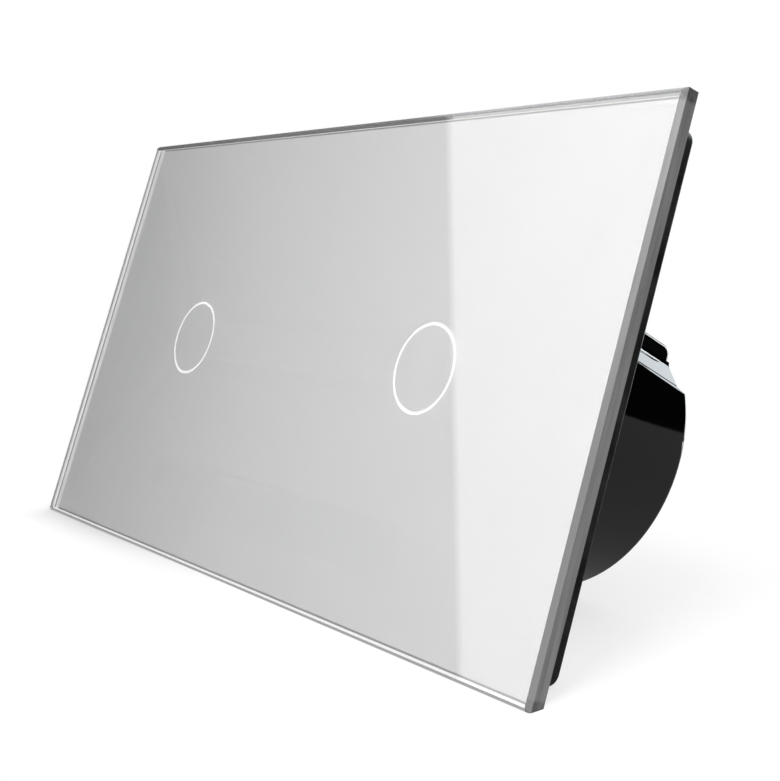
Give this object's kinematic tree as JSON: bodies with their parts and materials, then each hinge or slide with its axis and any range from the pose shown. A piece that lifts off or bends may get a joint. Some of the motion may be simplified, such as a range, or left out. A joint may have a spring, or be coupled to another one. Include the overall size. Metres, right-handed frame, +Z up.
{
  "type": "touch light switch",
  "caption": "Flush wall touch light switch: a wide glass panel with ring touch marks, over round in-wall modules with screw terminals.",
  "frame": {"origin": "centre of the wall plane between the two modules, on the back of the support frame", "axes": "+X to the right along the panel, +Y into the wall, +Z up"},
  "size_m": [0.151, 0.0339, 0.08],
  "materials": {
    "clear_glass": "polished",
    "grey_print": "fine satin print",
    "white_film": "translucent",
    "black_tape": "matt",
    "black_carrier": "satin moulded",
    "zinc_steel": "zinc plated",
    "plated_screw": "zinc plated",
    "black_housing": "glossy moulded",
    "dark_cover": "fine texture",
    "light_guide": "translucent",
    "spring_steel": "bright wire",
    "lamp_body": "clear resin",
    "green_board": "solder resist",
    "chip_black": "moulded",
    "relay_blue": "moulded",
    "relay_base": "moulded",
    "copper_winding": "enamelled wire",
    "soft_iron": "plated",
    "can_sleeve": "sleeved can",
    "film_cap_red": "dipped",
    "ferrite": "sintered",
    "fuse_tube": "ceramic",
    "varistor_blue": "dipped",
    "terminal_plastic": "moulded",
    "bar_brass": "plated"
  },
  "bodies": {
    "base": {"support_frame": "zinc_steel", "module_screws": "plated_screw", "leds": "lamp_body", "touch_chips": "chip_black", "board_headers": "chip_black", "fuses": "fuse_tube", "varistors": "varistor_blue", "left_front_cover": "dark_cover", "left_light_guide": "light_guide", "left_touch_spring": "spring_steel", "left_housing": "black_housing", "left_touch_board": "green_board", "left_power_board": "green_board", "left_relay_base": "relay_base", "left_relay_cover": "relay_blue", "left_relay_coil": "copper_winding", "left_relay_yoke": "soft_iron", "left_capacitor": "can_sleeve", "left_film_capacitor": "film_cap_red", "left_choke_core": "ferrite", "left_choke_winding": "copper_winding", "left_terminal_block": "terminal_plastic", "left_terminal_bars": "bar_brass", "right_front_cover": "dark_cover", "right_light_guide": "light_guide", "right_touch_spring": "spring_steel", "right_housing": "black_housing", "right_touch_board": "green_board", "right_power_board": "green_board", "right_relay_base": "relay_base", "right_relay_cover": "relay_blue", "right_relay_coil": "copper_winding", "right_relay_yoke": "soft_iron", "right_capacitor": "can_sleeve", "right_film_capacitor": "film_cap_red", "right_choke_core": "ferrite", "right_choke_winding": "copper_winding", "right_terminal_block": "terminal_plastic", "right_terminal_bars": "bar_brass"},
    "panel": {"glass_panel": "clear_glass", "back_print": "grey_print", "ring_films": "white_film", "adhesive_sheet": "black_tape", "panel_carrier": "black_carrier"},
    "left_terminal_screw_1": {"left_terminal_screw_1": "plated_screw"},
    "left_terminal_cage_1": {"left_terminal_cage_1": "bar_brass"},
    "left_terminal_screw_2": {"left_terminal_screw_2": "plated_screw"},
    "left_terminal_cage_2": {"left_terminal_cage_2": "bar_brass"},
    "left_terminal_screw_3": {"left_terminal_screw_3": "plated_screw"},
    "left_terminal_cage_3": {"left_terminal_cage_3": "bar_brass"},
    "left_relay_armature": {"left_relay_armature": "soft_iron"},
    "right_terminal_screw_1": {"right_terminal_screw_1": "plated_screw"},
    "right_terminal_cage_1": {"right_terminal_cage_1": "bar_brass"},
    "right_terminal_screw_2": {"right_terminal_screw_2": "plated_screw"},
    "right_terminal_cage_2": {"right_terminal_cage_2": "bar_brass"},
    "right_terminal_screw_3": {"right_terminal_screw_3": "plated_screw"},
    "right_terminal_cage_3": {"right_terminal_cage_3": "bar_brass"},
    "right_relay_armature": {"right_relay_armature": "soft_iron"}
  },
  "joints": [
    {"name": "panel_pull", "type": "slide", "parent": "base", "child": "panel", "axis": [0, -1, 0], "range_m": [0, 0.014]},
    {"name": "left_terminal_cage_1_rise", "type": "slide", "parent": "base", "child": "left_terminal_cage_1", "axis": [0, 1, 0], "range_m": [0, 0.0016]},
    {"name": "left_terminal_screw_1_turn", "type": "hinge", "parent": "base", "child": "left_terminal_screw_1", "pos_m": [-0.0432, 0.0225, 0.00745], "axis": [0, -1, 0], "range_deg": [0, 1152.01]},
    {"name": "left_terminal_cage_2_rise", "type": "slide", "parent": "base", "child": "left_terminal_cage_2", "axis": [0, 1, 0], "range_m": [0, 0.0016]},
    {"name": "left_terminal_screw_2_turn", "type": "hinge", "parent": "base", "child": "left_terminal_screw_2", "pos_m": [-0.036, 0.0225, 0.00745], "axis": [0, -1, 0], "range_deg": [0, 1152.01]},
    {"name": "left_terminal_cage_3_rise", "type": "slide", "parent": "base", "child": "left_terminal_cage_3", "axis": [0, 1, 0], "range_m": [0, 0.0016]},
    {"name": "left_terminal_screw_3_turn", "type": "hinge", "parent": "base", "child": "left_terminal_screw_3", "pos_m": [-0.0288, 0.0225, 0.00745], "axis": [0, -1, 0], "range_deg": [0, 1152.01]},
    {"name": "left_relay_armature_pull", "type": "hinge", "parent": "base", "child": "left_relay_armature", "pos_m": [-0.04651, 0.0182, -0.00036], "axis": [1, 0, 0], "range_deg": [0, 2.2], "stiffness_Nm_per_rad": 0.01, "springref_deg": -3.44},
    {"name": "right_terminal_cage_1_rise", "type": "slide", "parent": "base", "child": "right_terminal_cage_1", "axis": [0, 1, 0], "range_m": [0, 0.0016]},
    {"name": "right_terminal_screw_1_turn", "type": "hinge", "parent": "base", "child": "right_terminal_screw_1", "pos_m": [0.0288, 0.0225, 0.00745], "axis": [0, -1, 0], "range_deg": [0, 1152.01]},
    {"name": "right_terminal_cage_2_rise", "type": "slide", "parent": "base", "child": "right_terminal_cage_2", "axis": [0, 1, 0], "range_m": [0, 0.0016]},
    {"name": "right_terminal_screw_2_turn", "type": "hinge", "parent": "base", "child": "right_terminal_screw_2", "pos_m": [0.036, 0.0225, 0.00745], "axis": [0, -1, 0], "range_deg": [0, 1152.01]},
    {"name": "right_terminal_cage_3_rise", "type": "slide", "parent": "base", "child": "right_terminal_cage_3", "axis": [0, 1, 0], "range_m": [0, 0.0016]},
    {"name": "right_terminal_screw_3_turn", "type": "hinge", "parent": "base", "child": "right_terminal_screw_3", "pos_m": [0.0432, 0.0225, 0.00745], "axis": [0, -1, 0], "range_deg": [0, 1152.01]},
    {"name": "right_relay_armature_pull", "type": "hinge", "parent": "base", "child": "right_relay_armature", "pos_m": [0.02549, 0.0182, -0.00036], "axis": [1, 0, 0], "range_deg": [0, 2.2], "stiffness_Nm_per_rad": 0.01, "springref_deg": -3.44}
  ],
  "couplings": [
    {"joint": "left_terminal_screw_1_turn", "follows": "left_terminal_cage_1_rise", "rad_per_m": 12566},
    {"joint": "left_terminal_screw_2_turn", "follows": "left_terminal_cage_2_rise", "rad_per_m": 12566},
    {"joint": "left_terminal_screw_3_turn", "follows": "left_terminal_cage_3_rise", "rad_per_m": 12566},
    {"joint": "right_terminal_screw_1_turn", "follows": "right_terminal_cage_1_rise", "rad_per_m": 12566},
    {"joint": "right_terminal_screw_2_turn", "follows": "right_terminal_cage_2_rise", "rad_per_m": 12566},
    {"joint": "right_terminal_screw_3_turn", "follows": "right_terminal_cage_3_rise", "rad_per_m": 12566}
  ]
}
